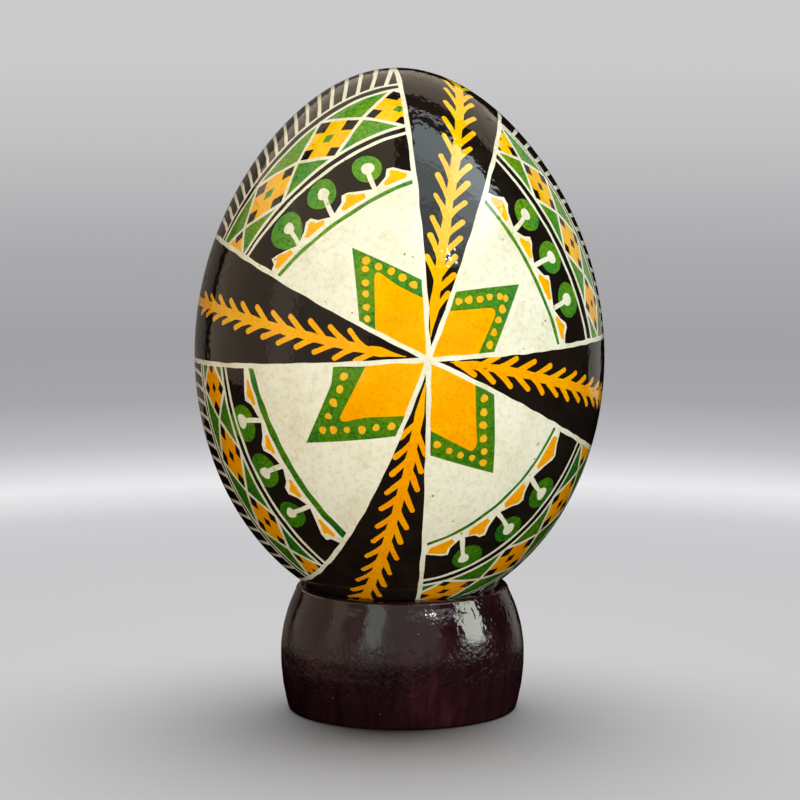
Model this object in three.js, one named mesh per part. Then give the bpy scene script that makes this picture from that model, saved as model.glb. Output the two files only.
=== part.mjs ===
// A decorated hen's egg (pysanka) in a turned wooden ring stand.
// Millimetres, +Z up. The origin is the middle of the stand's flat foot, and +Z is the axis of all pieces.
// The egg is a blown shell: a calcite wall, the skin that lines it, and a wax seal in the blow hole below.
import * as THREE from 'three';

// Egg: outer surface of the shell
const EGG_RADIUS = 21.5;
const EGG_WIDEST_Z = 37.5;
const EGG_UPPER_LENGTH = 30.1; // widest circle to the pointed end, which is up
const EGG_LOWER_LENGTH = 27.2; // widest circle to the blunt end, which is down
const EGG_TAPER = 0.112; // share by which the pointed end is slimmer than an ellipsoid, at its pole

// Egg: what the shell is made of
const SHELL_WALL = 0.38;
const LINING_GAP = 0.15; // clearance between the shell and the skin that lines it
const LINING_WALL = 0.12;
const BLOW_HOLE_RADIUS = 1.2;
const SEAL_CLEARANCE = 0.3; // around the wax and between its cap and the shell
const SEAL_CAP_RADIUS = 2.1;
const SEAL_CAP_HEIGHT = 0.55;
const SEAL_STEM_TOP = 1.0; // height of the wax above the shell's outer pole

// Stand: a low barrel with a bore right through and a dished seat
const STAND_HEIGHT = 13.2;
const STAND_FOOT_RADIUS = 12.05;
const STAND_BELLY_RADIUS = 12.85;
const STAND_BELLY_Z = 5.9;
const STAND_RIM_RADIUS = 10.95; // where the outside would meet the top if the lip weren't rounded
const STAND_LIP_ROUND = 0.5;
const STAND_BORE_RADIUS = 8;
const STAND_FOOT_CHAMFER = 0.2;
const SEAT_CLEARANCE = 0.25; // between the egg and the dish that it rests in

// Smoothness
const TURN_SEGMENTS = 48;
const SEAL_SEGMENTS = 24;
const SHELL_STEPS = 26;
const SEAT_STEPS = 4;
const BARREL_STEPS = 6;
const LIP_STEPS = 4;

const POLE = Math.PI / 2;

// Point of an egg outline: angle runs from -POLE at the blunt end through 0 at the widest circle to POLE.
function eggPoint(angle) {
  const along = Math.sin(angle);
  const length = along > 0 ? EGG_UPPER_LENGTH : EGG_LOWER_LENGTH;
  const slimming = along > 0 ? 1 - EGG_TAPER * along * along : 1;
  return new THREE.Vector2(EGG_RADIUS * Math.cos(angle) * slimming, EGG_WIDEST_Z + length * along);
}

// The same point moved square to the outline: outwards where offset is positive, inwards otherwise.
function offsetEggPoint(angle, offset) {
  const step = 1e-4;
  const tangent = eggPoint(angle + step).sub(eggPoint(angle - step)).normalize();
  return eggPoint(angle).add(new THREE.Vector2(tangent.y, -tangent.x).multiplyScalar(offset));
}

// Angle at which an offset outline of the lower half reaches a radius.
function lowerAngleAtRadius(radius, offset) {
  let low = -POLE;
  let high = 0;
  for (let halving = 0; halving < 50; halving += 1) {
    const middle = (low + high) / 2;
    if (offsetEggPoint(middle, offset).x < radius) low = middle;
    else high = middle;
  }
  return low;
}

// Outline from one angle to another, with steps + 1 points. An end at the pointed pole lies on the axis.
function eggOutline(offset, from, to, steps) {
  const points = [];
  for (let i = 0; i <= steps; i += 1) {
    const point = offsetEggPoint(from + ((to - from) * i) / steps, offset);
    points.push(point.x < 1e-3 ? new THREE.Vector2(0, point.y) : point);
  }
  return points;
}

// Solid of revolution about +Z, from an outline of (radius, height) points with the material on its left.
function turned(outline, segments) {
  return new THREE.LatheGeometry(outline, segments).rotateX(Math.PI / 2);
}

function piece(name, geometry, color, roughness, metalness = 0) {
  const mesh = new THREE.Mesh(geometry, new THREE.MeshStandardMaterial({ color, roughness, metalness }));
  mesh.name = name;
  return mesh;
}

// Wall of revolution between two offsets of the egg's surface, open at the blow hole.
function hollowEgg(outerOffset, innerOffset) {
  const outerStart = lowerAngleAtRadius(BLOW_HOLE_RADIUS, outerOffset);
  const innerStart = lowerAngleAtRadius(BLOW_HOLE_RADIUS, innerOffset);
  const outside = eggOutline(outerOffset, outerStart, POLE, SHELL_STEPS);
  const inside = eggOutline(innerOffset, innerStart, POLE, SHELL_STEPS).reverse();
  return turned([...inside, ...outside], TURN_SEGMENTS);
}

function eggshell() {
  return piece('eggshell', hollowEgg(0, -SHELL_WALL), '#f2eed6', 0.3);
}

function shellMembrane() {
  const outer = -(SHELL_WALL + LINING_GAP);
  return piece('shell_membrane', hollowEgg(outer, outer - LINING_WALL), '#efe8d8', 0.8);
}

// Wax seal: a low round cap under the shell, and a stem up through the blow hole.
function holePlug() {
  const poleZ = EGG_WIDEST_Z - EGG_LOWER_LENGTH;
  const capTop = poleZ - SEAL_CLEARANCE;
  const stemRadius = BLOW_HOLE_RADIUS - SEAL_CLEARANCE;
  const outline = [new THREE.Vector2(0, capTop - SEAL_CAP_HEIGHT)];
  const capArc = new THREE.EllipseCurve(0, capTop, SEAL_CAP_RADIUS, SEAL_CAP_HEIGHT, -POLE, 0);
  outline.push(...capArc.getPoints(LIP_STEPS).slice(1));
  outline.push(new THREE.Vector2(stemRadius, capTop));
  const stemRound = stemRadius / 2;
  const stemArc = new THREE.EllipseCurve(
    stemRadius - stemRound, poleZ + SEAL_STEM_TOP, stemRound, stemRound, 0, POLE,
  );
  outline.push(...stemArc.getPoints(LIP_STEPS));
  outline.push(new THREE.Vector2(0, poleZ + SEAL_STEM_TOP + stemRound));
  return piece('hole_plug', turned(outline, SEAL_SEGMENTS), '#d9b25c', 0.6);
}

// Outside of the barrel: widest at the belly, falling away as a parabola to the foot and to the rim.
function barrelRadius(z) {
  const rising = z > STAND_BELLY_Z;
  const reach = rising ? STAND_HEIGHT - STAND_BELLY_Z : STAND_BELLY_Z;
  const edgeRadius = rising ? STAND_RIM_RADIUS : STAND_FOOT_RADIUS;
  return STAND_BELLY_RADIUS - (STAND_BELLY_RADIUS - edgeRadius) * ((z - STAND_BELLY_Z) / reach) ** 2;
}

function standRing() {
  const outline = [new THREE.Vector2(STAND_FOOT_RADIUS - STAND_FOOT_CHAMFER, 0)];
  const lipBase = STAND_HEIGHT - STAND_LIP_ROUND;
  for (const [from, to] of [[STAND_FOOT_CHAMFER, STAND_BELLY_Z], [STAND_BELLY_Z, lipBase]]) {
    for (let i = from === STAND_BELLY_Z ? 1 : 0; i <= BARREL_STEPS; i += 1) {
      const z = from + ((to - from) * i) / BARREL_STEPS;
      outline.push(new THREE.Vector2(barrelRadius(z), z));
    }
  }
  const lipRadius = barrelRadius(lipBase);
  const lip = new THREE.EllipseCurve(
    lipRadius - STAND_LIP_ROUND, lipBase, STAND_LIP_ROUND, STAND_LIP_ROUND, 0, POLE,
  );
  outline.push(...lip.getPoints(LIP_STEPS).slice(1));
  // The dish ends where the seat's outline reaches the top of the stand.
  let seatTop = lowerAngleAtRadius(STAND_BORE_RADIUS, SEAT_CLEARANCE);
  const seatBottom = seatTop;
  while (offsetEggPoint(seatTop, SEAT_CLEARANCE).y < STAND_HEIGHT) seatTop += 1e-3;
  outline.push(...eggOutline(SEAT_CLEARANCE, seatTop - 1e-3, seatBottom, SEAT_STEPS));
  outline.push(new THREE.Vector2(STAND_BORE_RADIUS, STAND_FOOT_CHAMFER));
  outline.push(new THREE.Vector2(STAND_BORE_RADIUS + STAND_FOOT_CHAMFER, 0));
  outline.push(outline[0].clone());
  return piece('stand_ring', turned(outline, TURN_SEGMENTS), '#241512', 0.3);
}

const pysanka = new THREE.Group();
pysanka.add(standRing(), shellMembrane(), holePlug(), eggshell());

export default pysanka;
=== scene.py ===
"""Looks of a pysanka, a hen's egg with a wax-resist pattern, in its ring stand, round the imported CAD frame.

The pattern is drawn in two round charts, one about the middle of the star and one about the opposite
point of the egg. A chart point is (x, y) in degrees. Its distance from the chart's middle is the angle
between the directions of the two, seen from the egg's centre. Outlines cut the egg's mesh, so that colours
meet in real edges.
"""
import math
import random
from functools import partial

import bpy
import numpy as np
from mathutils import Matrix, Vector
from mathutils.geometry import delaunay_2d_cdt


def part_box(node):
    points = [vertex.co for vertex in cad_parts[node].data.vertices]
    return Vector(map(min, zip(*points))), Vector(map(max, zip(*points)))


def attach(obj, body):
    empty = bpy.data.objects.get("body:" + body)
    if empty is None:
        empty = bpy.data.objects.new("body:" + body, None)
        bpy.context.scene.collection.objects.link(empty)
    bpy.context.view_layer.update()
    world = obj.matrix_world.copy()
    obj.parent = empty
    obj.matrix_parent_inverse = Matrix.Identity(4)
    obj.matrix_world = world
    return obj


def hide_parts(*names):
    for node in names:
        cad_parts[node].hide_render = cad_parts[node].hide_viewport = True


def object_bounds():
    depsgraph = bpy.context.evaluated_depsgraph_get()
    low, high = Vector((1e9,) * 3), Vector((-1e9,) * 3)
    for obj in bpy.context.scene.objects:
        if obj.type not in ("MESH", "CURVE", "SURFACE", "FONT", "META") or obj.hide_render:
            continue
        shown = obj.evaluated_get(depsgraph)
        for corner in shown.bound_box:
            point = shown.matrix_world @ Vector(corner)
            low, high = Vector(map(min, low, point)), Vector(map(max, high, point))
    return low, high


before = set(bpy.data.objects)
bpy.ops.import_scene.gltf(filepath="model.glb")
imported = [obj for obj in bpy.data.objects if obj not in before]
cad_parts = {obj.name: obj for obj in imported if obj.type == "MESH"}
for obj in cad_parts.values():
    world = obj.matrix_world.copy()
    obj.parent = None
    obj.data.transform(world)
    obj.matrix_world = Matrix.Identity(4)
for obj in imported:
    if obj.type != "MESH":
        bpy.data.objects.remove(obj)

MM = 0.001
CAD_LOW, CAD_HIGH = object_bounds()

# Egg: the outline of the CAD shell, and how it lies in its ring
SHELL_LOW, SHELL_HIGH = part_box("eggshell")
EGG_RADIUS = (SHELL_HIGH.x - SHELL_LOW.x) / 2
EGG_UPPER = 30.1 * MM  # widest circle to the pointed end
EGG_LOWER = 27.2 * MM  # widest circle to the blunt end
EGG_TAPER = 0.112
EGG_CENTRE = np.array([0, 0, SHELL_HIGH.z - EGG_UPPER])
SHELL_WALL = 0.38 * MM
BLOW_HOLE_RADIUS = 1.2 * MM
SEAL_GAP = 0.3 * MM  # between the shell and the wax that closes the hole
LEAN_TURN = np.array(Matrix.Rotation(math.radians(-0.7), 3, "Y")).T  # for rows of points
LEAN_CENTRE = np.array([0, 0, 14.0 * MM])  # a point between the ring's lips

# Pattern: where the star faces, pen widths in millimetres, and how finely the outlines are followed
STAR_TURN = math.radians(7.8)  # to the right of -Y
STAR_LIFT = math.radians(5.9)  # above level
BOLD_PEN = 0.49
FINE_PEN = 0.38
STALK_PEN = 0.5
BRANCH_PEN = 0.9
LEAF_PEN = 0.58
RUNG_PEN = 0.44
WANDER = 0.03  # sideways drift of the hand
DEGREE = 0.42  # millimetres that a degree spans on most of the shell
RIM = 90  # degrees from a chart's middle to its edge, the equator where the two charts meet
CURVE_STEP = 1.1  # degrees between the points of a stroke's outline
GRID_STEP = 2.4  # degrees between the free points of the mesh
LEAF_RUN = 5.8  # degrees along the branch from a leaf's root to its tip
LAST_LEAF = 84  # no leaf has its tip farther out than this
WHITE, ORANGE, GREEN, BLACK, YELLOW, HOLE = range(6)

# The eight bold lines: angle round the star at its middle, half way out, and at the equator
LINES = [
    (1.5, 3.2, 4.8), (67.0, 67.4, 67.3), (90.6, 91.1, 90.3), (152.0, 149.2, 145.5),
    (182.0, 181.3, 179.5), (248.6, 247.4, 244.0), (269.2, 269.9, 271.2), (334.0, 332.2, 332.4),
]

# The black wedges between decorated sectors: first and last line, the way their branch runs, and on either
# side of it the distance of the first leaf's tip and the step from tip to tip
WEDGES = [
    dict(lines=(1, 2), branch=(84.0, 78.8, 78.0), right=(18.0, 4.85), left=(26.0, 5.25)),
    dict(lines=(3, 4), branch=(171.2, 166.2, 163.2), right=(22.0, 5.9), left=(19.0, 5.7)),
    dict(lines=(5, 6), branch=(261.5, 258.8, 258.3), right=(22.0, 5.2), left=(25.0, 5.35)),
    dict(lines=(7, 8), branch=(353.0, 348.3, 346.6), right=(13.2, 5.7), left=(19.3, 5.95)),
]

# The decorated sectors, in degrees. Corners of petals and flames are (distance from the star's middle,
# angle round it), and bulbs have a radius in millimetres as well. Arcs and rails are given by their
# distances at the first line, half way and at the last.
SECTORS = [
    dict(
        lines=(0, 1), arc=(41.2, 38.9, 45.0), arc_pen=0.42, peaks=(2.3, 5.5), heart=0.62,
        petal=[(18.2, 3.5), (33.2, 36.4), (18.9, 67.5)],
        flame=[(13.6, 3.0), (22.5, 31.5), (22.8, 35.8), (13.7, 66.0)],
        bulbs=[(48.3, 19.6, 1.78), (48.2, 36.0, 1.72), (50.0, 51.4, 1.70)],
        stems=(18.8, 37.8, 52.6), inner=((55.8, 52.7, 57.9), (59.4, 55.6, 60.2)),
        outer=((70.2, 68.3, 71.2), (72.2, 70.2, 72.2)),
        crossings=(5.0, 24.3, 43.3, 59.8, 74.5), eye=BLACK, ticks=15, lean=-0.16,
    ),
    dict(
        lines=(2, 3), arc=(45.6, 43.0, 47.8), arc_pen=0.42, peaks=(2.2, 5.4), heart=0.61,
        petal=[(20.4, 91.0), (35.3, 121.8), (20.3, 152.0)],
        flame=[(15.9, 92.0), (21.2, 111.5), (26.4, 117.4), (26.2, 120.6), (15.7, 152.0)],
        bulbs=[(51.4, 104.6, 1.56), (51.9, 119.4, 1.66), (52.3, 134.8, 1.98)],
        stems=(104.2, 120.8, 135.8), inner=((58.0, 56.3, 61.4), (59.8, 58.3, 63.0)),
        outer=((71.0, 70.7, 76.0), (72.8, 73.2, 78.0)),
        crossings=(83.5, 101.0, 119.5, 141.0, 157.0), eye=GREEN, ticks=17, lean=-0.28,
    ),
    dict(
        lines=(4, 5), arc=(52.4, 49.9, 55.4), arc_pen=0.78, peaks=(2.4, 5.8), heart=0.47,
        petal=[(25.6, 182.0), (27.0, 193.0), (41.2, 214.3), (24.9, 237.6), (21.8, 249.0)],
        flame=[(16.4, 182.0), (28.8, 212.6), (28.8, 215.6), (23.1, 221.5), (16.0, 249.0)],
        bulbs=[(59.8, 199.3, 1.92), (59.3, 215.5, 1.86), (61.0, 230.3, 1.58)],
        stems=(200.2, 216.8, 232.2), inner=((63.5, 62.9, 68.2), (65.6, 65.4, 70.2)),
        outer=((78.4, 78.2, 79.6), (80.2, 80.0, 81.4)),
        crossings=(178.0, 196.5, 218.0, 236.5, 254.0), eye=BLACK, ticks=15, lean=-0.26,
    ),
    dict(
        lines=(6, 7), arc=(52.3, 46.4, 45.6), arc_pen=0.36, peaks=(2.7, 6.1), heart=0.66,
        petal=[(25.8, 270.0), (37.4, 300.2), (29.5, 309.8), (20.6, 333.0)],
        flame=[(18.9, 270.0), (28.4, 295.4), (27.4, 299.8), (20.8, 309.0), (14.4, 333.0)],
        bulbs=[(59.4, 283.0, 1.66), (57.2, 296.8, 1.62), (56.2, 311.5, 1.76)],
        stems=(282.2, 295.4, 311.8), inner=((65.2, 60.9, 60.2), (67.3, 63.4, 62.9)),
        outer=((77.6, 77.4, 77.0), (79.4, 79.2, 78.8)),
        crossings=(268.5, 286.0, 304.5, 324.5, 341.0), eye=BLACK, ticks=14, lean=-0.15,
    ),
]


# ---------------------------------------------------------------- egg surface and charts

def egg_outline(angle):
    """(radius, height above the widest circle) at an angle from -pi / 2, the blunt end, to pi / 2."""
    along = np.sin(angle)
    upper = along > 0
    slimming = np.where(upper, 1 - EGG_TAPER * along**2, 1)
    return EGG_RADIUS * np.cos(angle) * slimming, np.where(upper, EGG_UPPER, EGG_LOWER) * along


OUTLINE_ANGLES = np.linspace(-math.pi / 2, math.pi / 2, 8001)
OUTLINE_RADII, OUTLINE_HEIGHTS = egg_outline(OUTLINE_ANGLES)
SEEN_FROM_CENTRE = np.arctan2(OUTLINE_HEIGHTS, OUTLINE_RADII)
FACING = np.arctan2(-np.gradient(OUTLINE_RADII), np.gradient(OUTLINE_HEIGHTS))


def full_turn(count):
    """Angles of count points spaced evenly round a circle."""
    return np.arange(count) * math.tau / count


def turned_points(radius, height, azimuth):
    """Points at a radius, height and azimuth. Each may be one value or a row of them."""
    return np.stack([radius * np.cos(azimuth), radius * np.sin(azimuth), height + 0 * azimuth], axis=-1)


def egg_surface(directions):
    """Points and outward normals of the egg's surface along unit directions from its centre."""
    azimuth = np.arctan2(directions[:, 1], directions[:, 0])
    elevation = np.arcsin(np.clip(directions[:, 2], -1, 1))
    angle = np.interp(elevation, SEEN_FROM_CENTRE, OUTLINE_ANGLES)
    radius, height = egg_outline(angle)
    facing = np.interp(angle, OUTLINE_ANGLES, FACING)
    return (
        turned_points(radius, height, azimuth) + EGG_CENTRE,
        turned_points(np.cos(facing), np.sin(facing), azimuth),
    )


def unit(vectors):
    return vectors / np.linalg.norm(vectors, axis=-1, keepdims=True)


STAR = np.array([
    math.sin(STAR_TURN) * math.cos(STAR_LIFT),
    -math.cos(STAR_TURN) * math.cos(STAR_LIFT),
    math.sin(STAR_LIFT),
])
STAR_RIGHT = unit(np.cross([0, 0, 1], STAR))
STAR_UP = np.cross(STAR, STAR_RIGHT)


def at(distance, round_angle):
    """Chart point at a distance from the middle and an angle counter-clockwise from the right."""
    a = math.radians(round_angle)
    return np.array([distance * math.cos(a), distance * math.sin(a)])


def chart_directions(points, side):
    """Unit directions from the egg's centre. side is 1 in the star's chart and -1 in the opposite one."""
    away = np.radians(np.linalg.norm(points, axis=1))[:, None]
    around = np.arctan2(points[:, 1], points[:, 0])[:, None]
    level = np.cos(around) * STAR_RIGHT + np.sin(around) * STAR_UP
    return side * np.cos(away) * STAR + np.sin(away) * level


def chart_points(directions, side):
    """Where unit directions from the egg's centre lie in a chart."""
    away = np.degrees(np.arccos(np.clip(side * (directions @ STAR), -1, 1)))
    around = np.arctan2(directions @ STAR_UP, directions @ STAR_RIGHT)
    return np.stack([away * np.cos(around), away * np.sin(around)], axis=1)


def through_three(values, share):
    """The parabola that takes the three values at shares 0, 0.5 and 1 of the way."""
    first, middle, last = values
    bend = 2 * (first + last) - 4 * middle
    return first + share * (last - first - bend) + bend * share * share


def smooth_curve(points, step):
    """Chart points a step of degrees or less apart along a Catmull-Rom curve through the given ones."""
    points = np.asarray(points, float)
    padded = np.vstack([2 * points[0] - points[1], points, 2 * points[-1] - points[-2]])
    curve = []
    for a, b, c, d in zip(padded, padded[1:], padded[2:], padded[3:]):
        count = max(2, math.ceil(np.linalg.norm(c - b) / step))
        for t in np.arange(count) / count:
            curve.append(
                b + 0.5 * t * (c - a + t * (2 * a - 5 * b + 4 * c - d + t * (3 * (b - c) + d - a)))
            )
    return np.array(curve + [points[-1]])


# ---------------------------------------------------------------- drawing

def line_angle(number, distance):
    """Angle of a bold line at a distance from the star's middle. Line 8 is line 0, a full turn on."""
    turns, line = divmod(number, len(LINES))
    return through_three(LINES[line], distance / RIM) + 360 * turns


def side_angles(sector, distance):
    """Angles of the two bold lines that bound a sector or a wedge."""
    return [line_angle(number, distance) for number in sector["lines"]]


def rim_width(round_angle, width):
    """Degrees that a width in millimetres spans along the equator between the charts."""
    direction = chart_directions(at(RIM, round_angle)[None], 1)
    point, _ = egg_surface(direction)
    return math.degrees(width * MM / np.linalg.norm(point[0] - EGG_CENTRE))


class Drawing:
    """The shapes drawn in one chart, first to last, each with the colour that it lays down."""

    def __init__(self, side, seed):
        self.side = side
        self.hand = random.Random(seed)
        self.shapes = []

    def fill(self, colour, outline):
        self.shapes.append((colour, np.asarray(outline, float)))

    def flat(self, points):
        """Chart points under points on or near the egg's surface."""
        return chart_points(unit(points - EGG_CENTRE), self.side)

    def slip(self, size):
        return self.hand.uniform(-size, size)

    def wander(self, along, size):
        """A smooth random series over distances in millimetres, about size high."""
        waves = [(self.hand.uniform(0.5, 2.4), self.hand.uniform(0, math.tau)) for _ in range(3)]
        return size / 2 * sum(np.sin(pace * along + phase) for pace, phase in waves)

    def stroke(self, colour, path, width, wander=WANDER):
        """A pen stroke with round ends along a curve through chart points. width is in millimetres."""
        middle = smooth_curve(path, CURVE_STEP)
        points, normals = egg_surface(chart_directions(middle, self.side))
        forward = unit(np.gradient(points, axis=0))
        across = np.cross(normals, forward)
        along = np.concatenate([[0], np.cumsum(np.linalg.norm(np.diff(points, axis=0), axis=1))]) / MM
        points = points + across * (self.wander(along, wander) * MM)[:, None]
        half = (width / 2 * (1 + self.wander(along, 0.12)) * MM)[:, None]
        self.fill(colour, self.flat(np.vstack([
            points + across * half,
            round_end(points[-1], across[-1], forward[-1], half[-1]),
            (points - across * half)[::-1],
            round_end(points[0], -across[0], -forward[0], half[0]),
        ])))

    def blob(self, colour, centre, radius, sides=20, unevenness=0.05):
        """A hand-filled round spot. radius is in millimetres."""
        point, normal = egg_surface(chart_directions(np.asarray(centre)[None], self.side))
        right = unit(np.cross(STAR_UP, normal[0]))
        up = np.cross(normal[0], right)
        turn = full_turn(sides)[:, None]
        reach = radius * MM * np.ones_like(turn)
        for lobes in (1, 2, 3):
            reach *= 1 + self.slip(unevenness) * np.cos(lobes * turn + self.slip(math.pi))
        edge = point[0] + reach * (np.cos(turn) * right + np.sin(turn) * up)
        self.fill(colour, self.flat(edge))

    def shape(self, colour, corners, slip=0.15):
        """A flat shape with straight sides and slightly misplaced corners."""
        self.fill(colour, [np.asarray(c) + (self.slip(slip), self.slip(slip)) for c in corners])

    def spoke(self, colour, angle_at, start, width, taper=0.0):
        """A stroke from a distance out to the equator, where it meets its other half in the other chart.

        With a taper, it starts as a point and takes that many degrees to reach its width.
        """
        distances = np.linspace(start, RIM, max(3, math.ceil((RIM - start) / CURVE_STEP)))
        middle = np.array([at(d, angle_at(d)) for d in distances])
        points, normals = egg_surface(chart_directions(middle, self.side))
        across = np.cross(normals, unit(np.gradient(points, axis=0)))
        along = (distances - start) * DEGREE
        fade = np.clip((RIM - distances) / 8, 0, 1)  # no drift where the two halves meet
        points = points + across * (self.wander(along, WANDER) * fade * MM)[:, None]
        half = (width / 2 * (1 + self.wander(along, 0.12) * fade) * MM)[:, None]
        if taper:
            half *= np.clip((distances - start) / taper, 0.1, 1)[:, None]
        left = self.flat(points + across * half)
        right = self.flat(points - across * half)
        rim = angle_at(RIM)
        spread = rim_width(rim, width) / 2
        sign = 1 if np.cross(middle[-1], left[-1] - right[-1]) > 0 else -1
        left[-1] = at(RIM, rim + sign * spread)
        right[-1] = at(RIM, rim - sign * spread)
        self.fill(colour, np.vstack([left, right[::-1]]))


def round_end(centre, across, forward, half):
    """Points of the half circle that ends a stroke."""
    turn = np.radians([36, 72, 108, 144])[:, None]
    return centre + half * (np.cos(turn) * across + np.sin(turn) * forward)


def rail_points(sector, rail, start, end, count):
    """Points along a rail or an arc of a sector, from one share of the sector's width to another."""
    points = []
    for share in np.linspace(start, end, count):
        distance = through_three(rail, share)
        low, high = side_angles(sector, distance)
        points.append(at(distance, low + share * (high - low)))
    return points


def rail_distance(sector, rail, round_angle):
    """Distance of a rail or an arc from the star's middle, at an angle round it."""
    start, end = side_angles(sector, 60)
    return through_three(rail, (round_angle - start) / (end - start))


def draw_star(drawing, sector):
    """One petal: green, with an orange flame inside it and a row of dots between their edges."""
    petal = [at(*corner) for corner in sector["petal"]]
    flame = [at(*corner) for corner in sector["flame"]]
    drawing.fill(GREEN, between_lines(sector, smooth_polygon(petal)))
    drawing.fill(ORANGE, between_lines(sector, smooth_polygon(rounded(flame))))
    tip = max(petal, key=np.linalg.norm)
    inner_tip = max(flame, key=np.linalg.norm)
    bend = 0.5 * tip + 0.5 * inner_tip
    ends = [(petal[i] + flame[i]) / 2 for i in (0, -1)]
    dots = 5
    for end, lead in zip(ends, (0.1, 0.75)):
        for i in range(dots):
            place = bend + (end - bend) * (i + lead) / (dots - 0.2 + lead)
            place = place + (drawing.slip(0.3), drawing.slip(0.3))
            drawing.blob(YELLOW, place, 0.39 + drawing.slip(0.05), 12, 0.12)


def between_lines(sector, outline):
    """Outline of a shape that fills the sector from the star's middle out to the given outline."""
    first, last = sector["lines"]
    near, far = (np.linalg.norm(outline[i]) for i in (0, -1))
    side = [at(d, line_angle(first, d)) for d in np.arange(0, near, 3.0)]
    back = [at(d, line_angle(last, d)) for d in np.arange(0, far, 3.0)[1:]]
    start, end = at(near, line_angle(first, near)), at(far, line_angle(last, far))
    return [*side, start, *outline[1:-1], end, *back[::-1]]


def rounded(corners, cut=1.3):
    """The same corners with the inner ones cut short, as a brush leaves them."""
    points = [corners[0]]
    for before, corner, after in zip(corners, corners[1:], corners[2:]):
        in_step = min(cut, np.linalg.norm(before - corner) / 3)
        out_step = min(cut, np.linalg.norm(after - corner) / 3)
        enter = corner + in_step * unit(before - corner)
        leave = corner + out_step * unit(after - corner)
        points += [enter, (enter + leave + 2 * corner) / 4, leave]
    return [*points, corners[-1]]


def smooth_polygon(corners, step=1.5):
    """Corners joined by straight runs of short steps, so that the sides follow the egg."""
    points = []
    for a, b in zip(corners, corners[1:]):
        count = max(1, round(np.linalg.norm(b - a) / step))
        points += [a + (b - a) * i / count for i in range(count)]
    return [*points, corners[-1]]


def draw_field(drawing, sector):
    """The undyed field round the star, with its green arc and the peaks beyond it."""
    edge = [distance + 0.8 for distance in sector["arc"]]
    drawing.fill(WHITE, between_lines(sector, rail_points(sector, edge, 0, 1, 24)))
    first, last = side_angles(sector, 50)
    joints = [first - 1, *sector["stems"], last + 1]
    for start, end in zip(joints, joints[1:]):
        draw_peak(drawing, sector, start, end)
    drawing.stroke(GREEN, rail_points(sector, sector["arc"], 0.012, 0.988, 9), sector["arc_pen"])


def draw_peak(drawing, sector, start, end):
    """A low white peak beyond the arc, with an orange heart."""
    notch, top = sector["peaks"]
    top += drawing.slip(0.35)
    peak = start + (end - start) * (0.52 + drawing.slip(0.07))

    def beyond(round_angle, height):
        return at(rail_distance(sector, sector["arc"], round_angle) + height, round_angle)

    shoulder = notch + 0.45 * (top - notch)
    inset = 0.3 * (end - start)
    crown = [
        beyond(start + 0.5, notch), beyond(start + inset, shoulder), beyond(peak - 1.1, top - 0.3),
        beyond(peak + 0.9, top), beyond(end - inset, shoulder), beyond(end - 0.5, notch),
    ]
    drawing.shape(WHITE, [beyond(start - 0.2, 0.2), *crown, beyond(end + 0.2, 0.2)])
    middle = beyond((start + end) / 2 + drawing.slip(0.8), (notch + top) / 2 - 0.6)
    base = [beyond(end - 1.2, 0.5), beyond(start + 1.2, 0.5)]
    heart = [middle + sector["heart"] * (np.asarray(corner) - middle) for corner in (*crown, *base)]
    drawing.shape(ORANGE, heart, 0.2)


def draw_bulbs(drawing, sector):
    """Green discs on white stems, each with a white spot where its stem ends."""
    for (distance, angle, radius), foot in zip(sector["bulbs"], sector["stems"]):
        centre = at(distance, angle)
        drawing.blob(GREEN, centre, radius, 26, 0.05)
        spot = at(distance + drawing.slip(0.4), angle - 0.3 + drawing.slip(0.9))
        base = at(rail_distance(sector, sector["arc"], foot) + sector["peaks"][0] - 0.6, foot)
        bend = (spot + base) / 2 + (drawing.slip(0.35), drawing.slip(0.35))
        drawing.stroke(WHITE, [base, bend, spot], STALK_PEN, wander=0.02)
        drawing.blob(WHITE, spot, 0.68 + drawing.slip(0.07), 14, 0.1)


def draw_lattice(drawing, sector):
    """The band of orange diamonds between green triangles, checked in black, in its double rails."""
    near, far = sector["inner"][1], sector["outer"][0]
    drawing.fill(GREEN, rail_points(sector, near, 0, 1, 16) + rail_points(sector, far, 1, 0, 16))
    corners = []
    for angle in sector["crossings"]:
        middle = (rail_distance(sector, near, angle) + rail_distance(sector, far, angle)) / 2
        corners.append(at(middle, angle))
    for left, right, start, end in zip(corners, corners[1:], sector["crossings"], sector["crossings"][1:]):
        low_angle = (start + end) / 2 + drawing.slip(1.0)
        high_angle = (start + end) / 2 + drawing.slip(1.0)
        low = at(rail_distance(sector, near, low_angle), low_angle)
        high = at(rail_distance(sector, far, high_angle), high_angle)
        draw_diamond(drawing, left, low, right, high, sector["eye"])


def draw_diamond(drawing, left, low, right, high, eye):
    middle = (left + low + right + high) / 4
    wide, tall = (right - left) / 2, (high - low) / 2

    def check(u, v, size, colour):
        centre = middle + u * wide + v * tall
        corners = [centre - size * wide, centre - size * tall, centre + size * wide, centre + size * tall]
        drawing.shape(colour, corners, 0.12)

    drawing.fill(ORANGE, [left, low, right, high])
    for u, v in ((-0.68, 0), (0.68, 0), (0, -0.7), (0, 0.7)):
        check(u + drawing.slip(0.03), v + drawing.slip(0.03), 0.27 + drawing.slip(0.03), BLACK)
    check(drawing.slip(0.04), drawing.slip(0.06), 0.18 + drawing.slip(0.03), eye)
    for a, b in ((left, low), (low, right), (right, high), (high, left)):
        drawing.stroke(WHITE, [a, (a + b) / 2, b], FINE_PEN)


def draw_rails(drawing, sector):
    for rail in (*sector["inner"], *sector["outer"]):
        drawing.stroke(WHITE, rail_points(sector, rail, -0.01, 1.01, 10), FINE_PEN)


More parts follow.
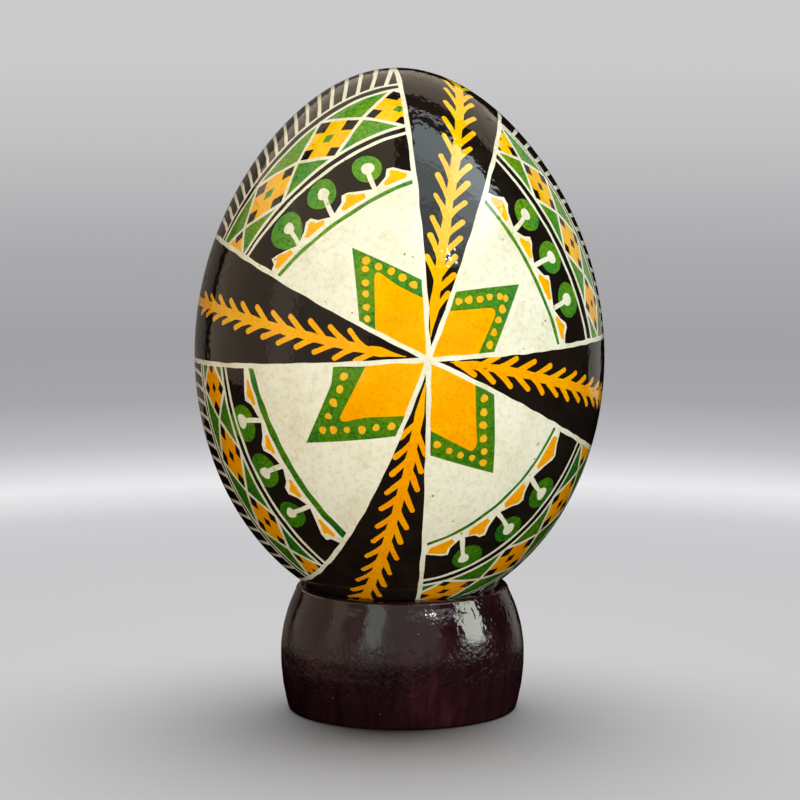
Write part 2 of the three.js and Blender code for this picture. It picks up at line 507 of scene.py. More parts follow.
def rungs(sector):
    """(angle, distance) at which each rung of a sector's ladder starts on the outer rail."""
    spaces = sector["ticks"] + 1
    for number in range(1, spaces):
        share = number / spaces
        distance = through_three(sector["outer"][1], share)
        low, high = side_angles(sector, distance)
        yield low + (high - low) * share, distance


def rung_angle(sector, angle, distance, away):
    """Angle of a rung that leaves the outer rail with the sector's lean and meets the equator squarely."""
    run, reach = away - distance, RIM - distance
    return angle + 1.4 * sector["lean"] * run * (1 - run / (2 * reach))


def draw_ladder(drawing, sector):
    """Rungs from the outer rail across the equator."""
    for angle, distance in rungs(sector):
        drawing.spoke(WHITE, partial(rung_angle, sector, angle, distance), distance - 0.2, RUNG_PEN)


def draw_branch(drawing, wedge, rim_angles):
    """The black wedge from the star's middle to the equator, and the leafy branch along it."""
    first, last = wedge["lines"]
    out = np.linspace(0, RIM, 46)[1:-1]
    start, end = side_angles(wedge, RIM)
    turned = (a + whole for a in rim_angles for whole in (0, 360))
    rim = [at(RIM, a) for a in sorted(turned) if start - 1e-4 <= a <= end + 1e-4]
    drawing.fill(BLACK, [
        np.zeros(2), *[at(d, line_angle(first, d)) for d in out], *rim,
        *[at(d, line_angle(last, d)) for d in out[::-1]],
    ])

    def stem_angle(distance):
        return through_three(wedge["branch"], distance / RIM)

    drawing.spoke(ORANGE, stem_angle, 6.0, BRANCH_PEN, taper=7.0)
    for side, (tip, step) in ((-1, wedge["right"]), (1, wedge["left"])):
        while tip < LAST_LEAF:
            draw_leaf(drawing, stem_angle, tip + drawing.slip(0.45), side)
            tip += step


def draw_leaf(drawing, stem_angle, tip, side):
    """A leaf of the branch, given the distance of its tip. side is 1 where it leaves counter-clockwise."""
    root = tip - LEAF_RUN + drawing.slip(0.5)
    reach = min(4.0, 0.9 + 0.14 * tip) + drawing.slip(0.3)
    foot, end = at(root, stem_angle(root)), at(tip, stem_angle(tip))
    across = side * unit(np.array([foot[1] - end[1], end[0] - foot[0]]))
    bend = (foot + end) / 2 + across * (reach * 0.45 + drawing.slip(0.2))
    drawing.stroke(ORANGE, [foot, bend, end + across * reach], LEAF_PEN)


def rim_marks():
    """Angles round the equator between the charts at which the mesh has points, in order.

    They are the edges of all that crosses the equator, and enough others to keep it round.
    """
    crossing = [(line_angle(number, RIM), BOLD_PEN) for number in range(len(LINES))]
    crossing += [(wedge["branch"][2], BRANCH_PEN) for wedge in WEDGES]
    for sector in SECTORS:
        crossing += [(rung_angle(sector, a, d, RIM), RUNG_PEN) for a, d in rungs(sector)]
    edges = []
    for angle, width in crossing:
        half = rim_width(angle, width) / 2
        edges += [angle - half, angle + half]
    edges = sorted(a % 360 for a in edges)
    marks = [line_angle(number, RIM) % 360 for number in range(len(LINES))]
    for low, high in zip(edges, edges[1:] + [edges[0] + 360]):
        pieces = max(1, round((high - low) / GRID_STEP)) if high - low > 2 else 1
        marks += [(low + (high - low) * i / pieces) % 360 for i in range(pieces)]
    return sorted(marks)


def draw_pattern(side, seed, rim):
    """Everything on one half of the egg, in the order in which one lies over another."""
    drawing = Drawing(side, seed)
    for sector in SECTORS:
        draw_field(drawing, sector)
        draw_star(drawing, sector)
        draw_bulbs(drawing, sector)
        draw_lattice(drawing, sector)
        draw_rails(drawing, sector)
        draw_ladder(drawing, sector)
    for wedge in WEDGES:
        draw_branch(drawing, wedge, rim)
    for number in range(len(LINES)):
        drawing.spoke(WHITE, partial(line_angle, number), 0, BOLD_PEN)
    return drawing


# ---------------------------------------------------------------- egg mesh

def inside(points, outline):
    """Which points lie inside a closed outline, by the even-odd rule."""
    a = outline
    b = np.roll(outline, -1, axis=0)
    x, y = points[:, :1], points[:, 1:]
    spans = (a[:, 1] > y) != (b[:, 1] > y)
    rise = np.where(a[:, 1] == b[:, 1], 1, b[:, 1] - a[:, 1])
    meets = x < a[:, 0] + (y - a[:, 1]) * (b[:, 0] - a[:, 0]) / rise
    return (spans & meets).sum(axis=1) % 2 == 1


def free_points():
    """A triangular grid of chart points that keeps the mesh fine where nothing is drawn."""
    rows = np.arange(-RIM, RIM, GRID_STEP * math.sqrt(3) / 2)
    points = [
        (x + (GRID_STEP / 2 if row % 2 else 0), y)
        for row, y in enumerate(rows) for x in np.arange(-RIM, RIM, GRID_STEP)
    ]
    return [p for p in points if math.hypot(*p) < RIM - 0.6 * GRID_STEP]


def cut_mesh(drawing, rim):
    """Directions, triangles and colours of one half of the egg, cut along every outline drawn on it."""
    loops = [[at(RIM, angle) for angle in rim]] + [outline for _, outline in drawing.shapes]
    points, edges = [], []
    for loop in loops:
        first = len(points)
        points += [Vector(p) for p in loop]
        edges += [(first + i, first + (i + 1) % len(loop)) for i in range(len(loop))]
    points += [Vector(p) for p in free_points()]
    made = delaunay_2d_cdt(points, edges, [], 0, 1e-4)
    flat = np.array([tuple(p) for p in made[0]])
    triangles = np.array(made[2])
    centres = flat[triangles].mean(axis=1)
    colours = np.full(len(triangles), BLACK)
    for colour, outline in drawing.shapes:
        low, high = outline.min(axis=0), outline.max(axis=0)
        near = np.flatnonzero(((centres >= low) & (centres <= high)).all(axis=1))
        colours[near[inside(centres[near], outline)]] = colour
    if drawing.side < 0:
        triangles = triangles[:, ::-1]
    return chart_directions(flat, drawing.side), triangles, colours


def lean(points):
    """Tips points of the egg as it lies in its ring."""
    return (points - LEAN_CENTRE) @ LEAN_TURN + LEAN_CENTRE


def between_rings(low, high, count):
    """Faces between two rings of count points each, whose first points have the numbers low and high."""
    following = [*range(1, count), 0]
    return [(low + i, low + j, high + j, high + i) for i, j in enumerate(following)]


def make_mesh(name, points, faces, normals=None):
    """A smooth-shaded mesh object. normals are one to a point, where the true surface gives them."""
    mesh = bpy.data.meshes.new(name)
    mesh.from_pydata([tuple(p) for p in points], [], [tuple(int(i) for i in f) for f in faces])
    mesh.update()
    mesh.shade_smooth()
    if normals is not None:
        mesh.normals_split_custom_set_from_vertices([tuple(n) for n in normals])
    piece = bpy.data.objects.new(name, mesh)
    bpy.context.scene.collection.objects.link(piece)
    return piece


def blow_hole_outline():
    """The blow hole under the blunt end, in the chart opposite the star."""
    return chart_points(unit(turned_points(BLOW_HOLE_RADIUS, -EGG_LOWER * 0.999, full_turn(36))), -1)


def weld(points, triangles):
    """Joins points closer than a few micrometres, and tells which triangles keep three corners."""
    cells = np.round(points / (4e-3 * MM)).astype(np.int64)
    _, first, joined = np.unique(cells, axis=0, return_index=True, return_inverse=True)
    triangles = joined.reshape(-1)[triangles]
    a, b, c = triangles.T
    return points[first], triangles, (a != b) & (b != c) & (c != a)


def boundary_loop(triangles):
    """The open edge of a mesh, in order."""
    edges = {(int(t[i]), int(t[(i + 1) % 3])) for t in triangles for i in range(3)}
    following = {a: b for a, b in edges if (b, a) not in edges}
    loop = [min(following)]
    while following[loop[-1]] != loop[0]:
        loop.append(following[loop[-1]])
    assert len(loop) == len(following), "the shell has more than one open edge"
    return loop


def inner_wall(loop_points, steps=30):
    """Rings of points inside the shell, from the blow hole to the pointed end, and that end's own point."""
    azimuth = np.arctan2(loop_points[:, 1], loop_points[:, 0])
    start = -math.acos(BLOW_HOLE_RADIUS / EGG_RADIUS)
    rings, normals = [], []
    for angle in np.linspace(start, math.pi / 2, steps)[:-1]:
        radius, height = egg_outline(angle)
        facing = np.interp(angle, OUTLINE_ANGLES, FACING)
        normal = turned_points(np.cos(facing), np.sin(facing), azimuth)
        rings.append(turned_points(radius, height, azimuth) + EGG_CENTRE - SHELL_WALL * normal)
        normals.append(-normal)
    tip = EGG_CENTRE + (0, 0, EGG_UPPER - SHELL_WALL)
    return np.vstack([*rings, tip]), np.vstack([*normals, (0, 0, -1)])


def painted_outside():
    """Points, triangles and colours of the shell's outside: both charts joined, the blow hole left open."""
    rim = rim_marks()
    drawings = [draw_pattern(side, seed, rim) for side, seed in ((1, 11), (-1, 23))]
    drawings[1].fill(HOLE, blow_hole_outline())
    directions, triangles, colours = zip(*(cut_mesh(drawing, rim) for drawing in drawings))
    triangles = np.vstack([triangles[0], triangles[1] + len(directions[0])])
    colours = np.concatenate(colours)
    shown = colours != HOLE
    points, triangles, whole = weld(egg_surface(np.vstack(directions))[0], triangles[shown])
    used, triangles = np.unique(triangles[whole], return_inverse=True)
    return points[used], triangles.reshape(-1, 3), colours[shown][whole]


def wall_faces(loop, first, tip):
    """Faces from the outside's open edge in to the wall, whose points have the numbers first to tip."""
    count = len(loop)
    faces = []
    for i in range(count):
        j = (i + 1) % count
        faces += [(loop[j], loop[i], first + i, first + j), (tip - count + j, tip - count + i, tip)]
    for low in range(first, tip - count, count):
        faces += between_rings(low + count, low, count)
    return faces


def build_egg(materials):
    """The painted shell: its cut outside, the edge of the blow hole, and a plain inside."""
    points, triangles, colours = painted_outside()
    points, normals = egg_surface(unit(points - EGG_CENTRE))
    loop = boundary_loop(triangles)
    wall, wall_normals = inner_wall(points[loop])
    faces = [*triangles, *wall_faces(loop, len(points), len(points) + len(wall) - 1)]
    # Only the outside leans. The inside stays upright, clear of the lining skin, which does too.
    points = np.vstack([lean(points), wall])
    egg = make_mesh("painted_eggshell", points, faces, np.vstack([normals @ LEAN_TURN, wall_normals]))
    for material in materials:
        egg.data.materials.append(material)
    colours = np.concatenate([colours, np.full(len(faces) - len(colours), WHITE)])
    egg.data.polygons.foreach_set("material_index", colours.astype(np.int32))
    egg.data.update()
    return egg


# ---------------------------------------------------------------- stand and wax

_, STAND_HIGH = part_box("stand_ring")
STAND_HEIGHT = STAND_HIGH.z
STAND_BELLY = STAND_HIGH.x
STAND_BELLY_Z = 5.9 * MM
STAND_FOOT = STAND_BELLY - 0.8 * MM
STAND_RIM = STAND_BELLY - 1.9 * MM
STAND_LIP = 0.5 * MM
STAND_BORE = 8.0 * MM
STAND_CHAMFER = 0.2 * MM
SEAT_GAP = 0.25 * MM


def barrel_radius(z):
    rising = z > STAND_BELLY_Z
    reach = np.where(rising, STAND_HEIGHT - STAND_BELLY_Z, STAND_BELLY_Z)
    edge = np.where(rising, STAND_RIM, STAND_FOOT)
    return STAND_BELLY - (STAND_BELLY - edge) * ((z - STAND_BELLY_Z) / reach) ** 2


def stand_outline():
    """(radius, height) points round the ring's section, from the foot up the outside and down the bore."""
    lip_z = STAND_HEIGHT - STAND_LIP
    heights = np.linspace(STAND_CHAMFER, lip_z, 44)
    outline = [(STAND_FOOT - STAND_CHAMFER, 0), *zip(barrel_radius(heights), heights)]
    lip_radius = float(barrel_radius(np.array(lip_z)))
    for turn in np.linspace(0, math.pi / 2, 8)[1:]:
        outline.append((lip_radius - STAND_LIP * (1 - math.cos(turn)), lip_z + STAND_LIP * math.sin(turn)))
    normals = np.stack([np.cos(FACING), np.sin(FACING)], axis=1)
    seat = np.stack([OUTLINE_RADII, OUTLINE_HEIGHTS + EGG_CENTRE[2]], axis=1) + SEAT_GAP * normals
    dish = seat[(seat[:, 1] < STAND_HEIGHT) & (seat[:, 0] > STAND_BORE)]
    outline += [tuple(p) for p in dish[::-1][np.linspace(0, len(dish) - 1, 9).astype(int)]]
    outline += [(STAND_BORE, z) for z in np.linspace(dish[0, 1] - 0.3 * MM, STAND_CHAMFER, 14)]
    foot = np.linspace(STAND_BORE + STAND_CHAMFER, STAND_FOOT - STAND_CHAMFER, 6)[:-1]
    return np.array([*outline, *((radius, 0) for radius in foot)])


def build_stand(material):
    """The turned ring, a little out of round, with the faint waves that the tool and lacquer leave."""
    outline = stand_outline()
    around = 288
    azimuth = full_turn(around)
    rings = []
    for radius, height in outline:
        share = height / STAND_HEIGHT
        waves = 0.035 * np.sin(2 * azimuth + 0.7) + 0.02 * np.sin(3 * azimuth + 4 * share)
        waves = waves + 0.006 * np.sin(11 * azimuth + 9 * share) + 0.008 * math.sin(40 * share)
        rings.append(turned_points(radius + waves * MM * min(1, 8 * share), height, azimuth))
    faces = []
    for ring in range(len(rings)):
        faces += between_rings(ring * around, (ring + 1) % len(rings) * around, around)
    stand = make_mesh("lacquered_ring", np.vstack(rings), faces)
    stand.data.materials.append(material)
    stand.data.set_sharp_from_angle(angle=math.radians(40))
    return stand


def build_wax(material):
    """The wax seal under the blow hole: a lumpy round cap, pressed on by thumb, and its stem."""
    low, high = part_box("hole_plug")
    cap_radius = high.x
    cap_top = EGG_CENTRE[2] - EGG_LOWER - SEAL_GAP
    cap_height = cap_top - low.z
    stem = BLOW_HOLE_RADIUS - SEAL_GAP
    section = []
    for t in np.linspace(0.05, math.pi / 2, 14):
        section.append((cap_radius * math.sin(t), cap_top - cap_height * math.cos(t)))
    section += [(r, cap_top) for r in np.linspace(cap_radius - 0.15 * MM, stem, 5)]
    section += [(stem, z) for z in np.linspace(cap_top + 0.1 * MM, high.z - stem / 2, 6)]
    for t in np.linspace(0.2, 1.4, 5):
        section.append((stem / 2 * (1 + math.cos(t)), high.z - stem / 2 * (1 - math.sin(t))))
    around = 64
    azimuth = full_turn(around)
    rings = []
    for radius, height in section:
        lumps = 1 + 0.04 * np.sin(2 * azimuth + 1) + 0.025 * np.sin(5 * azimuth + 700 * radius)
        dent = 0.05 * MM * np.cos(3 * azimuth + 2) * (radius / cap_radius) * (height < cap_top - 0.05 * MM)
        rings.append(turned_points(radius * lumps * 0.95, height + 0.2 * abs(dent), azimuth))
    points = np.vstack([*rings, (0, 0, low.z), (0, 0, high.z)])
    bottom, top, last = len(points) - 2, len(points) - 1, (len(section) - 1) * around
    faces = []
    for ring in range(0, last, around):
        faces += between_rings(ring, ring + around, around)
    for i in range(around):
        j = (i + 1) % around
        faces += [(bottom, j, i), (top, last + i, last + j)]
    wax = make_mesh("wax_seal", lean(points), faces)
    wax.data.materials.append(material)
    return wax


# ---------------------------------------------------------------- materials

def rgb(code):
    """Linear colour of a hexadecimal sRGB code."""
    values = [int(code[i:i + 2], 16) / 255 for i in (0, 2, 4)]
    return tuple(v / 12.92 if v <= 0.04045 else ((v + 0.055) / 1.055) ** 2.4 for v in values) + (1,)


class Finish:
    """A material and short calls that build its nodes. Texture sizes are in millimetres on the object."""

    def __init__(self, name):
        self.material = bpy.data.materials.new(name)
        self.material.use_nodes = True
        self.tree = self.material.node_tree
        self.shader = self.tree.nodes["Principled BSDF"]
        coordinates = self.add("ShaderNodeTexCoord")
        scale = self.add("ShaderNodeVectorMath", {0: coordinates.outputs["Object"]}, operation="SCALE")
        scale.inputs["Scale"].default_value = 1 / MM
        self.place = scale.outputs["Vector"]

    def add(self, kind, inputs=None, **settings):
        node = self.tree.nodes.new(kind)
        for name, value in settings.items():
            setattr(node, name, value)
        for socket, value in (inputs or {}).items():
            self.put(node.inputs[socket], value)
        return node

    def put(self, socket, value):
        if isinstance(value, bpy.types.NodeSocket):
            self.tree.links.new(value, socket)
        else:
            socket.default_value = value

    def noise(self, size, detail=3.0, roughness=0.55, distortion=0.0, stretch=None):
        """Noise with features about size millimetres across. stretch makes it longer along some axes."""
        place = self.place
        if stretch:
            place = self.add("ShaderNodeVectorMath", {0: place, 1: stretch}, operation="DIVIDE").outputs[0]
        node = self.add("ShaderNodeTexNoise", {
            "Vector": place, "Scale": 1 / size, "Detail": detail, "Roughness": roughness,
            "Distortion": distortion,
        })
        return node.outputs["Fac"]

    def spots(self, size, radius, share):
        """1 inside scattered round spots and 0 outside. share of the cells hold one, a size apart."""
        cells = self.add("ShaderNodeTexVoronoi", {"Vector": self.place, "Scale": 1 / size})
        chosen = self.add("ShaderNodeSeparateColor", {"Color": cells.outputs["Color"]})
        keep = self.math("LESS_THAN", chosen.outputs["Red"], share)
        wide = self.math("MULTIPLY", chosen.outputs["Green"], radius / size)
        near = self.math("SUBTRACT", wide, cells.outputs["Distance"])
        soft = self.math("MULTIPLY", near, 3.5 * size / radius)
        soft.node.use_clamp = True
        return self.math("MULTIPLY", soft, keep)

    def along(self, axis, low, high):
        """0 up to low millimetres along X, Y or Z, and 1 from high millimetres on."""
        level = self.add("ShaderNodeSeparateXYZ", {0: self.place}).outputs[axis]
        node = self.add("ShaderNodeMapRange", {"Value": level, "From Min": low, "From Max": high})
        return node.outputs["Result"]

    def math(self, operation, a, b):
        return self.add("ShaderNodeMath", {0: a, 1: b}, operation=operation).outputs[0]

    def ramp(self, value, *stops):
        """Colours or greys along a value, from (position, colour) pairs."""
        node = self.add("ShaderNodeValToRGB", {"Fac": value})
        elements = node.color_ramp.elements
        while len(elements) < len(stops):
            elements.new(0.5)
        for element, (position, colour) in zip(elements, stops):
            element.position = position
            element.color = rgb(colour) if isinstance(colour, str) else (colour, colour, colour, 1)
        return node.outputs["Color"]

    def mix(self, factor, a, b, blend="MIX"):
        node = self.add("ShaderNodeMix", data_type="RGBA", blend_type=blend)
        for socket, value in zip((0, 6, 7), (factor, a, b)):
            self.put(node.inputs[socket], rgb(value) if isinstance(value, str) else value)
        return node.outputs[2]

    def weighted_sum(self, *parts):
        """Sum of (value, weight) pairs."""
        total = None
        for value, weight in parts:
            share = self.math("MULTIPLY", value, weight)
            total = share if total is None else self.math("ADD", total, share)
        return total

    def bump(self, height, depth):
        """Relief whose full height is depth millimetres."""
        inputs = {"Height": height, "Distance": depth * MM, "Strength": 1.0}
        return self.add("ShaderNodeBump", inputs).outputs["Normal"]

    def set(self, **sockets):
        """Sets or links sockets of the shader, by their names with _ for a space."""
        for name, value in sockets.items():
            self.put(self.shader.inputs[name.replace("_", " ")], value)

    def coat(self, relief, roughness):
        """A clear glossy coat. What lies under it has the same relief and mirrors nothing of its own."""
        self.set(
            Normal=relief, Specular_IOR_Level=0.0,
            Coat_Weight=1.0, Coat_Roughness=roughness, Coat_IOR=1.5, Coat_Normal=relief,
        )


def varnish(finish, grain):
    """Thick clear varnish over the shell's own grain: soft dimples, pores and a few specks of dust."""
    dimples = finish.noise(1.5, detail=2.0, roughness=0.5)
    pores = finish.noise(0.6, detail=0.5, distortion=0.4)
    dust = finish.spots(2.6, 0.32, 0.3)
    height = finish.weighted_sum((dimples, 0.8), (pores, 0.6), (dust, 0.35))
    finish.set(Roughness=finish.ramp(grain, (0.3, 0.34), (0.7, 0.46)), IOR=1.45)
    finish.coat(finish.bump(height, 0.035), 0.06)
    return finish.material


def undyed_shell():
    finish = Finish("undyed_shell")
    clouds = finish.noise(3.4, detail=4.0, roughness=0.6)
    grain = finish.noise(0.5, detail=3.0, roughness=0.65)
    colour = finish.ramp(clouds, (0.3, "ebe7d0"), (0.5, "f5f3e0"), (0.72, "faf9ec"))
    fine = finish.ramp(grain, (0.32, "dcd5bc"), (0.5, "fbf9ee"), (0.7, "fffffa"))
    colour = finish.mix(0.5, colour, fine, "MULTIPLY")
    colour = finish.mix(finish.spots(1.9, 0.3, 0.4), colour, "d2c8ac")
    colour = finish.mix(finish.spots(1.0, 0.16, 0.4), colour, "94846a")
    finish.set(Base_Color=colour)
    return varnish(finish, grain)


def warm_dye(name, low, high):
    """Yellow or orange dye. low and high are the codes of its tones near the foot, darker as painted shade,
    and near the top, lighter as painted light.
    """
    finish = Finish(name)
    clouds = finish.noise(4.0, detail=3.0, roughness=0.6)
    grain = finish.noise(0.32, detail=3.0, roughness=0.7)
    # Painted light and shade: the dye goes from its darker tones near the foot to its lighter ones near the
    # top.
    tones = [finish.ramp(clouds, *zip((0.3, 0.52, 0.74), codes)) for codes in (low, high)]
    colour = finish.mix(finish.along("Z", 28, 66), *tones)
    colour = finish.mix(0.5, colour, finish.ramp(grain, (0.3, "dcb060"), (0.5, "ffffff")), "MULTIPLY")
    colour = finish.mix(finish.spots(1.9, 0.2, 0.5), colour, "9c5a08")
    finish.set(Base_Color=colour)
    return varnish(finish, grain)


def orange_dye():
    # First the tones in painted shade near the foot, then the lighter ones in painted light near the top.
    return warm_dye("orange_dye", ("fd9c00", "ffa800", "ffb400"), ("fcba00", "ffc800", "ffd818"))


def yellow_dye():
    # First the tones in painted shade near the foot, then the lighter ones in painted light near the top.
    return warm_dye("yellow_dye", ("eda818", "f4b822", "f8c632"), ("f2ba26", "f8c832", "fcd840"))


def green_dye():
    finish = Finish("green_dye")
    clouds = finish.noise(3.6, detail=3.0, roughness=0.6)
    grain = finish.noise(0.34, detail=3.0, roughness=0.75)
    # Painted light and shade: low is the green in painted shade near the foot, high the green in painted
    # light near the top.
    low = finish.ramp(clouds, (0.3, "1e6424"), (0.5, "33740e"), (0.7, "528412"))
    high = finish.ramp(clouds, (0.3, "3e9646"), (0.5, "62a02a"), (0.7, "7aa408"))
    colour = finish.mix(finish.along("Z", 22, 62), low, high)
    colour = finish.mix(0.85, colour, finish.ramp(grain, (0.3, "6c7a5c"), (0.54, "ffffff")), "MULTIPLY")
    colour = finish.mix(finish.ramp(grain, (0.6, 0.0), (0.78, 0.5)), colour, "9cb42c")
    finish.set(Base_Color=colour)
    return varnish(finish, grain)


def black_dye():
    finish = Finish("black_dye")
    clouds = finish.noise(2.6, detail=4.0, roughness=0.65)
    grain = finish.noise(0.35, detail=3.0, roughness=0.7)
    colour = finish.ramp(clouds, (0.3, "15100d"), (0.7, "221a15"))
    colour = finish.mix(finish.ramp(grain, (0.62, 0.0), (0.8, 0.5)), colour, "44301f")
    finish.set(Base_Color=colour)
    return varnish(finish, grain)


def lacquered_wood():
    """Dark maroon lacquer over turned wood: thick, wrinkled, dusty, and blistered at the upper right."""
    finish = Finish("lacquered_wood")
    grain = finish.noise(1.1, detail=5.0, roughness=0.6, distortion=0.4, stretch=(1.0, 1.0, 7.0))
    patches = finish.noise(4.5, detail=3.0, roughness=0.6)
    colour = finish.ramp(patches, (0.3, "160a0c"), (0.55, "200d11"), (0.75, "2e1317"))
    colour = finish.mix(0.5, colour, finish.ramp(grain, (0.35, "6b5a55"), (0.6, "ffffff")), "MULTIPLY")
    dust = finish.spots(0.8, 0.08, 0.2)
    colour = finish.mix(dust, colour, "6e5e5c")
    wrinkles = finish.noise(0.5, detail=4.0, roughness=0.65, distortion=1.2, stretch=(1.0, 1.0, 1.3))
    wrinkled = finish.ramp(finish.along("Z", 0, 13), (0.08, 0.4), (0.32, 1.4), (0.6, 0.9), (0.76, 0.15))
    blisters = finish.noise(0.55, detail=0.5, distortion=0.4)
    blistered = finish.math("MULTIPLY", finish.along("Z", 8.5, 10.5), finish.along("X", 0, 2))
    swell = finish.noise(1.7, detail=2.0)
    height = finish.weighted_sum((swell, 1.0), (wrinkles, wrinkled), (blisters, blistered), (dust, 0.3))
    finish.set(Base_Color=colour, Roughness=finish.ramp(patches, (0.3, 0.34), (0.7, 0.5)))
    finish.coat(finish.bump(height, 0.05), 0.08)
    return finish.material


def beeswax():
    finish = Finish("beeswax")
    clouds = finish.noise(0.9, detail=4.0)
    colour = finish.ramp(clouds, (0.3, "b98a34"), (0.6, "d7ab52"), (0.8, "e6c276"))
    finish.set(
        Base_Color=colour, Roughness=finish.ramp(clouds, (0.3, 0.42), (0.7, 0.6)),
        Normal=finish.bump(finish.noise(0.35, detail=3.0), 0.04),
        Subsurface_Weight=0.25, Subsurface_Radius=(0.001, 0.0006, 0.0003),
    )
    return finish.material


def egg_skin():
    finish = Finish("egg_skin")
    fibres = finish.noise(0.4, detail=6.0, roughness=0.7, distortion=1.5)
    colour = finish.ramp(fibres, (0.3, "d8cdb8"), (0.6, "ece5d6"), (0.8, "f6f1e6"))
    finish.set(
        Base_Color=colour, Roughness=finish.ramp(fibres, (0.3, 0.6), (0.7, 0.85)),
        Normal=finish.bump(fibres, 0.03),
    )
    return finish.material


# ---------------------------------------------------------------- stage, lights and camera

EYE_LEVEL = Vector((0, 0, 40 * MM))  # what the lights are set out round

# Camera: metres to its aim, degrees that it looks down, and the aim's place across and up the object
CAMERA_DISTANCE = 0.4
CAMERA_RISE = 7.9
CAMERA_LENS = 171.2  # for a sensor 36 wide
AIM_LEFT = 0.24 * MM
AIM_SHARE = 0.4845

# Millimetres from the middle of the foot, and the floor's tone there: pale, a bright band of painted light,
# darker with painted shade, pale
FLOOR_TONES_AND_PAINTED_LIGHT = (
    (45, "cfcfd1"), (100, "cccccf"), (124, "d2d2d5"), (151, "f3f3f6"), (169, "dbdbdf"), (190, "c0c0c4"),
    (240, "a4a4a7"), (320, "9e9ea1"), (500, "aaaaad"), (830, "c2c2c4"), (1400, "cfcfd1"),
)


def build_floor():
    """A pale sheet whose tone changes gently with the distance from the object, with a painted band of light
    and a painted ring of shade.
    """
    around = 96
    radii = (0.05, 0.1, 0.2, 0.4, 0.8, 1.6, 3.2, 8.0)
    rings = [turned_points(radius, CAD_LOW.z, full_turn(around)) for radius in radii]
    faces = [(0, 1 + i, 1 + (i + 1) % around) for i in range(around)]
    for ring in range(len(radii) - 1):
        low = 1 + ring * around
        faces += between_rings(low + around, low, around)
    floor = make_mesh("floor", np.vstack([(0, 0, CAD_LOW.z), *rings]), faces)
    finish = Finish("floor_paper")
    distance = finish.add("ShaderNodeVectorMath", {0: finish.place}, operation="LENGTH").outputs["Value"]
    share = finish.math("DIVIDE", finish.math("LOGARITHM", finish.math("ADD", distance, 10.0), 10.0), 4.0)
    # The ramp paints the bright band and the darker ring beyond it: painted light and painted shade on the
    # floor.
    stops = [(math.log10(away + 10) / 4, tone) for away, tone in FLOOR_TONES_AND_PAINTED_LIGHT]
    finish.set(Base_Color=finish.ramp(share, *stops), Roughness=0.8)
    floor.data.materials.append(finish.material)
    floor.visible_glossy = False
    floor.visible_diffuse = False
    return floor


def toward(turn, rise, distance=1.0):
    """Place that the object sees turn degrees to the right of the camera and rise degrees above level."""
    turn, rise = math.radians(turn), math.radians(rise)
    level = distance * math.cos(rise)
    return Vector((level * math.sin(turn), -level * math.cos(turn), distance * math.sin(rise)))


def group(name, member, state):
    """Collection for light linking. It takes in the member or, with the state EXCLUDE, all but that."""
    collection = bpy.data.collections.new(name)
    collection.objects.link(member)
    collection.collection_objects[0].light_linking.link_state = state
    return collection


def panel(name, place, size, radiance, colour, lit, facing=None, mirrored=True):
    """A rectangular light: place in metres from EYE_LEVEL, radiance what a mirror would show of it.

    It lights what the collection lit takes in, and nothing else stands in its way.
    """
    light = bpy.data.lights.new(name, "AREA")
    light.shape = "RECTANGLE"
    light.size, light.size_y = size
    light.energy = radiance * math.pi * size[0] * size[1]
    light.color = rgb(colour)[:3]
    lamp = bpy.data.objects.new(name, light)
    lamp.location = EYE_LEVEL + Vector(place)
    lamp.rotation_euler = (Vector(facing) if facing else -Vector(place)).to_track_quat("-Z", "Y").to_euler()
    lamp.visible_camera = False
    lamp.visible_glossy = mirrored
    lamp.light_linking.receiver_collection = lit
    lamp.light_linking.blocker_collection = lit
    bpy.context.scene.collection.objects.link(lamp)


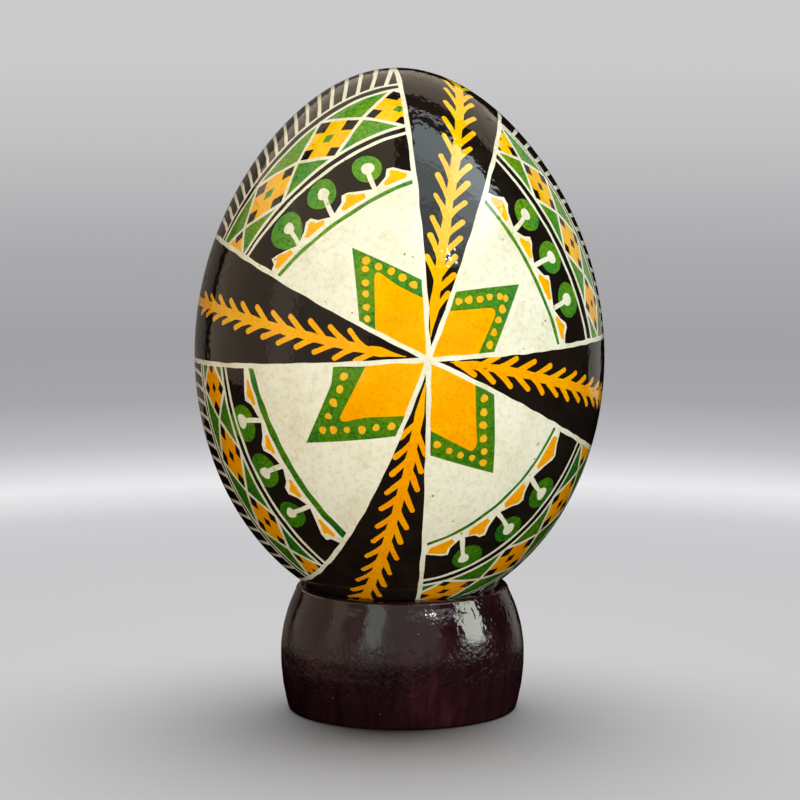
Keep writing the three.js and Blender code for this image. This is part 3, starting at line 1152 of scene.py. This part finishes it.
def light_object(floor, stand):
    """What the varnish mirrors, soft lights that it doesn't mirror, and what the stand alone mirrors."""
    lit = group("all_but_floor", floor, "EXCLUDE")
    down, right = (0, 0, -1), (1, 0, 0)
    for row, radiance in enumerate((4.2, 2.7, 1.8, 1.0)):
        y = -0.14 - 0.36 * row
        panel(f"window_left_{row}", (0.345, y, 1.0), (0.41, 0.36), 0.75 * radiance, "e6f9ff", lit, down)
        panel(f"window_right_{row}", (0.95, y, 1.0), (0.8, 0.36), 1.25 * radiance, "ecfdff", lit, down)
    panel("ceiling", (-0.46, 1.5, 1.0), (3.1, 2.15), 0.9, "ffecd4", lit, down)
    panel("room_above", (-0.75, -0.35, 1.0), (1.45, 1.2), 0.8, "ffeecc", lit, down)
    panel("left_wall", (-1.0, 0.17, 0.28), (1.45, 0.93), 0.5, "ffe6c8", lit, right)
    panel("left_front", toward(-47, 14, 1.15), (1.35, 0.95), 0.4, "fff0d8", lit)
    panel("right_wall", toward(143, 8), (0.4, 0.7), 0.5, "eeeae0", lit)
    panel("lamp", toward(34, 34), (0.04, 0.035), 90.0, "ffffff", lit)
    panel("window_frame", (0.3, 0.17, 1.0), (0.4, 0.04), 3.0, "ffffff", lit, down)
    panel("left_back", toward(-158, 10), (0.7, 0.8), 0.16, "fff0dc", lit)
    panel("front", toward(16, 2, 1.3), (1.3, 0.7), 5.6, "fcf8ee", lit, mirrored=False)
    panel("front_left", toward(-50, -12, 1.3), (0.6, 0.6), 1.9, "fffaf2", lit, mirrored=False)
    panel("back", toward(180, 15, 1.3), (1.4, 0.8), 4.0, "f8faff", lit, mirrored=False)
    lit = group("only_stand", stand, "INCLUDE")
    panel("stand_window", toward(75, 16), (0.42, 0.42), 9.5, "f6fff0", lit)
    panel("stand_streak", toward(-29, 24), (0.3, 0.7), 1.9, "e4f4f0", lit)
    panel("stand_room", toward(10, 20), (1.0, 0.85), 0.65, "fff4ec", lit)


def light_floor(floor):
    """Even light from high behind, so that a soft shadow falls round the object and towards the camera."""
    light = bpy.data.lights.new("overhead", "SUN")
    light.energy = math.pi
    light.angle = math.radians(75)
    lamp = bpy.data.objects.new("overhead", light)
    lamp.rotation_euler = (-toward(175, 68)).to_track_quat("-Z", "Y").to_euler()
    lamp.light_linking.receiver_collection = group("only_floor", floor, "INCLUDE")
    bpy.context.scene.collection.objects.link(lamp)
    world = bpy.data.worlds.new("room")
    world.use_nodes = True
    world.node_tree.nodes["Background"].inputs["Color"].default_value = rgb("cfcfd1")
    world.cycles_visibility.diffuse = False
    world.cycles_visibility.glossy = False
    bpy.context.scene.world = world


def build_camera():
    elevation = math.radians(CAMERA_RISE)
    aim = Vector((-AIM_LEFT, 0, CAD_LOW.z + AIM_SHARE * (CAD_HIGH.z - CAD_LOW.z)))
    back = Vector((0, -math.cos(elevation), math.sin(elevation)))
    data = bpy.data.cameras.new("camera")
    data.sensor_width = 36.0
    data.lens = CAMERA_LENS
    data.clip_start, data.clip_end = 0.01, 20.0
    camera = bpy.data.objects.new("camera", data)
    camera.location = aim + CAMERA_DISTANCE * back
    camera.rotation_euler = (-back).to_track_quat("-Z", "Y").to_euler()
    bpy.context.scene.collection.objects.link(camera)
    bpy.context.scene.camera = camera


build_camera()
bpy.context.scene.view_settings.view_transform = "Standard"

egg = build_egg([undyed_shell(), orange_dye(), green_dye(), black_dye(), yellow_dye()])
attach(egg, "egg")
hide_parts("eggshell")

wax = build_wax(beeswax())
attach(wax, "egg")
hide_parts("hole_plug")

stand = build_stand(lacquered_wood())
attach(stand, "stand")
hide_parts("stand_ring")

floor = build_floor()
light_object(floor, stand)
light_floor(floor)

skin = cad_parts["shell_membrane"]
skin.data.materials.clear()
skin.data.materials.append(egg_skin())
